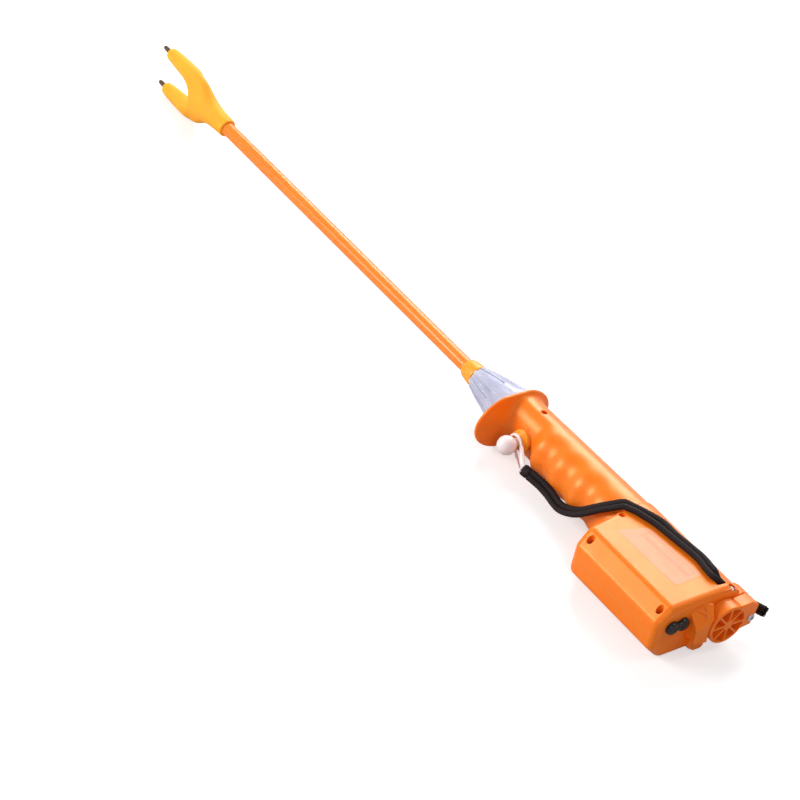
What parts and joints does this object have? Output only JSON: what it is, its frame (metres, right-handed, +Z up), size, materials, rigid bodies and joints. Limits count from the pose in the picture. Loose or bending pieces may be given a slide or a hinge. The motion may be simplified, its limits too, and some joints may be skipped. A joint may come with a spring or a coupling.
{
  "type": "electric livestock prod",
  "caption": "Battery prod with a two-pin fork on a long tube, a clear lamp cone, an oval guard, a moulded grip with a ball trigger, a chamfered housing and a wrist strap.",
  "frame": {"origin": "On the bench under the middle of the tool's length and width, measured without the strap and its tie. The tool lies on its side, on the flats of its guard and housing.", "axes": "+X along the tool from the housing towards the electrodes, +Y towards the trigger, +Z up, out of the half shell with the screw wells."},
  "size_m": [0.8238, 0.108, 0.0553],
  "materials": {
    "orange_abs": "semi-gloss moulded",
    "amber_abs": "semi-gloss moulded",
    "yellow_vinyl": "soft dipped vinyl, satin",
    "clear_lens": "clear polycarbonate, glossy",
    "dark_bronze": "darkened, satin",
    "screw_steel": "zinc plated",
    "contact_brass": "plain",
    "white_nylon": "semi-gloss",
    "black_rubber": "glossy rubber",
    "black_braid": "braided cord, matte",
    "board_green": "solder mask",
    "black_potting": "moulded, matte",
    "cell_wrap": "shrink sleeve",
    "lead_insulation": "silicone insulation",
    "led_dome": "clear epoxy dome"
  },
  "bodies": {
    "body": {"shell_upper": "orange_abs", "shell_lower": "orange_abs", "shell_screw_1": "screw_steel", "shell_screw_2": "screw_steel", "shell_screw_3": "screw_steel", "shell_screw_4": "screw_steel", "strap_bar_screw": "screw_steel", "shaft_tube": "orange_abs", "shaft_collar": "amber_abs", "lamp_cover": "clear_lens", "lamp_board": "board_green", "lamp_led_1": "led_dome", "lamp_led_2": "led_dome", "lamp_led_3": "led_dome", "lamp_led_4": "led_dome", "fork_sleeve": "yellow_vinyl", "electrode_upper": "dark_bronze", "electrode_lower": "dark_bronze", "lead_upper": "lead_insulation", "lead_lower": "lead_insulation", "trigger_bezel": "amber_abs", "trigger_spring": "screw_steel", "trigger_switch": "black_potting", "battery_sleeve": "black_potting", "battery_cell_rear": "cell_wrap", "battery_cell_front": "cell_wrap", "battery_spring": "screw_steel", "circuit_board": "board_green", "pulse_transformer": "black_potting", "storage_capacitor": "cell_wrap", "charge_socket": "black_potting", "cover_screw": "screw_steel", "wrist_cord_a": "black_braid", "wrist_cord_b": "black_braid", "strap_end": "black_braid", "strap_tie": "white_nylon"},
    "trigger": {"trigger_button": "white_nylon"},
    "plug": {"charge_plug": "black_rubber"},
    "battery_cover": {"rear_cover": "orange_abs", "cover_contact": "contact_brass"}
  },
  "joints": [
    {"name": "trigger_press", "type": "slide", "parent": "body", "child": "trigger", "axis": [0, -1, 0], "range_m": [0, 0.0025], "stiffness_N_per_m": 900, "springref_m": -0.001, "deforming": ["trigger_spring"]},
    {"name": "charge_plug_pull", "type": "slide", "parent": "body", "child": "plug", "axis": [-1, 0, 0], "range_m": [0, 0.014]},
    {"name": "battery_cover_swing", "type": "hinge", "parent": "body", "child": "battery_cover", "pos_m": [-0.4044, -0.039, 0.025], "axis": [1, 0, 0], "range_deg": [0, 100]}
  ]
}
